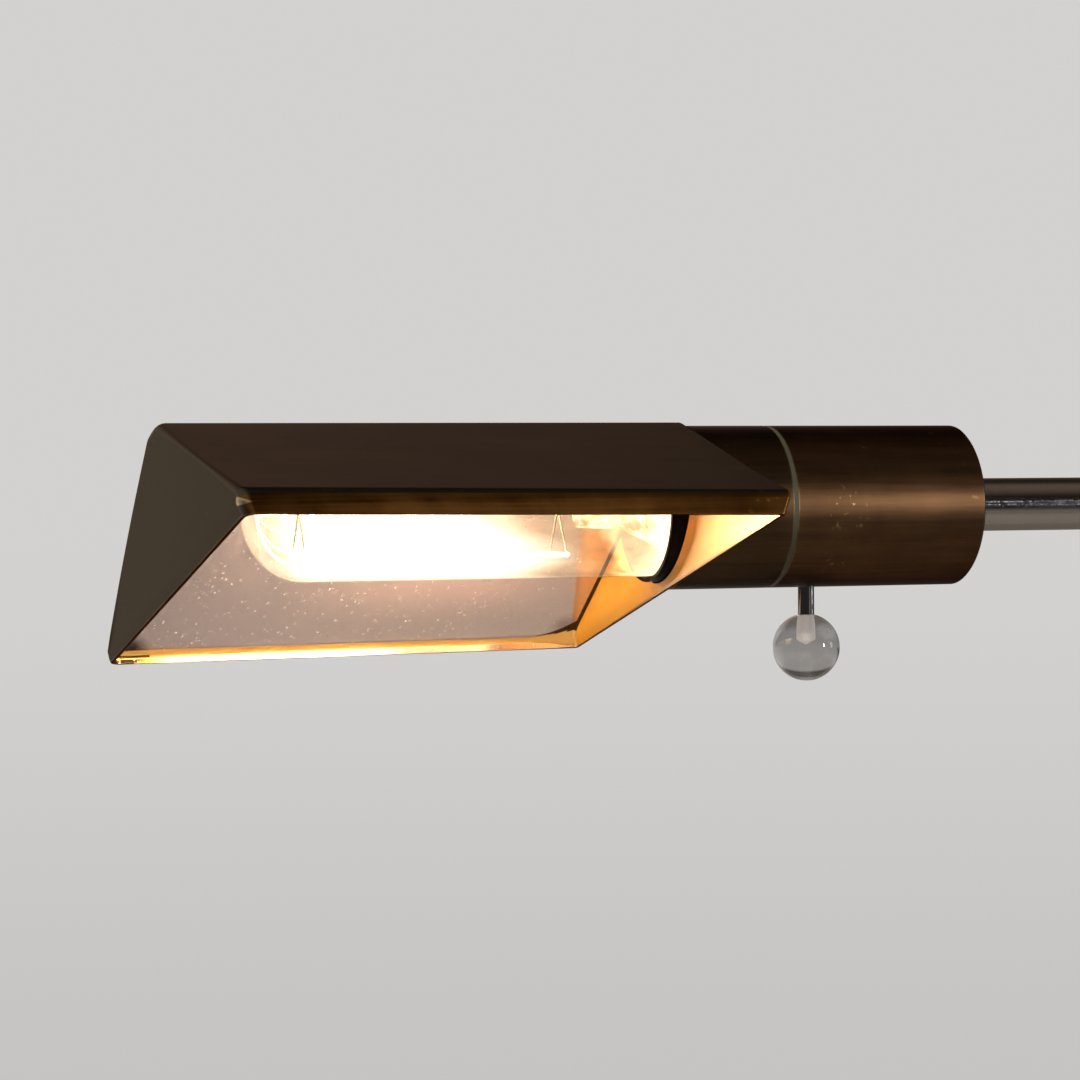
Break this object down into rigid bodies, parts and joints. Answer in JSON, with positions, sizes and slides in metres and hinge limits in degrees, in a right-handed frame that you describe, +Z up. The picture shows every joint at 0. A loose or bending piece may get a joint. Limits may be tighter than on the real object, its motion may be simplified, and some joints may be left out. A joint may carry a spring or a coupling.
{
  "type": "adjustable floor lamp",
  "caption": "Floor reading lamp: weighted disc base, chrome column with twist lock, sliding bent arm, and a bronze cylinder head with a turning tent shade and a clear ball switch key.",
  "frame": {"origin": "on the floor, at the centre of the base, on the column's axis", "axes": "+Z up along the column; the arm and head lie toward -X; the switch key hangs toward -Z"},
  "size_m": [0.5855, 0.254, 1.0299],
  "materials": {
    "felt": "matte felt",
    "iron": "rough black cast",
    "bronze": "dark bronze patina, satin, worn warmer on the edges",
    "shade_bronze": "dark satin bronze outside, bright warm metal inside",
    "rubber": "matte black",
    "steel": "plain zinc plated",
    "chrome": "polished chrome plate",
    "nylon": "natural nylon",
    "brass": "plain brass",
    "washer": "pale grey green, satin",
    "phenolic": "black moulded",
    "fibre": "brown fibre board",
    "acrylic": "clear, polished",
    "bulb_glass": "clear glass",
    "black_glass": "black glass",
    "wire": "bright drawn wire",
    "filament": "glowing warm white"
  },
  "bodies": {
    "stand": {"base_pad": "felt", "base_weight": "iron", "base_cover": "bronze", "cord_bushing": "rubber", "column_ferrule": "bronze", "column_stud": "steel", "base_washer": "steel", "base_nut": "steel", "column_tube": "chrome", "column_collar": "chrome", "collet": "nylon"},
    "clamp": {"clamp_ring": "chrome"},
    "guide": {"guide_bush": "nylon"},
    "arm": {"guide_clips": "steel", "stem_tube": "chrome", "arm_nipple": "brass", "housing_washer": "steel", "nipple_nuts": "brass", "housing": "bronze", "swivel_sleeve": "brass", "snap_ring": "steel", "friction_washer": "washer", "socket_front": "phenolic", "socket_rear": "phenolic", "screw_shell": "brass", "centre_contact": "brass", "switch_bridge": "fibre", "switch_leaves": "brass", "terminal_screws": "steel", "bulb_glass": "bulb_glass", "bulb_cap": "brass", "bulb_insulator": "black_glass", "bulb_contact": "steel", "bulb_mount": "bulb_glass", "bulb_wires": "wire", "bulb_filament": "filament"},
    "shade": {"shade_collar": "bronze", "shade_shell": "shade_bronze"},
    "key": {"switch_rotor": "fibre", "key_stem": "chrome", "key_ball": "acrylic"}
  },
  "joints": [
    {"name": "height_slide", "type": "slide", "parent": "stand", "child": "guide", "axis": [0, 0, 1], "range_m": [-0.28, 0.18]},
    {"name": "arm_swing", "type": "hinge", "parent": "guide", "child": "arm", "pos_m": [0, 0, 0.66], "axis": [0, 0, 1], "range_deg": [-180, 180]},
    {"name": "shade_turn", "type": "hinge", "parent": "arm", "child": "shade", "pos_m": [-0.31, 0, 1.01], "axis": [1, 0, 0], "continuous": true},
    {"name": "switch_turn", "type": "hinge", "parent": "arm", "child": "key", "pos_m": [-0.2994, 0, 0.98], "axis": [0, 0, 1], "continuous": true},
    {"name": "clamp_turn", "type": "hinge", "parent": "stand", "child": "clamp", "pos_m": [0, 0, 0.655], "axis": [0, 0, 1], "range_deg": [0, 90]}
  ]
}
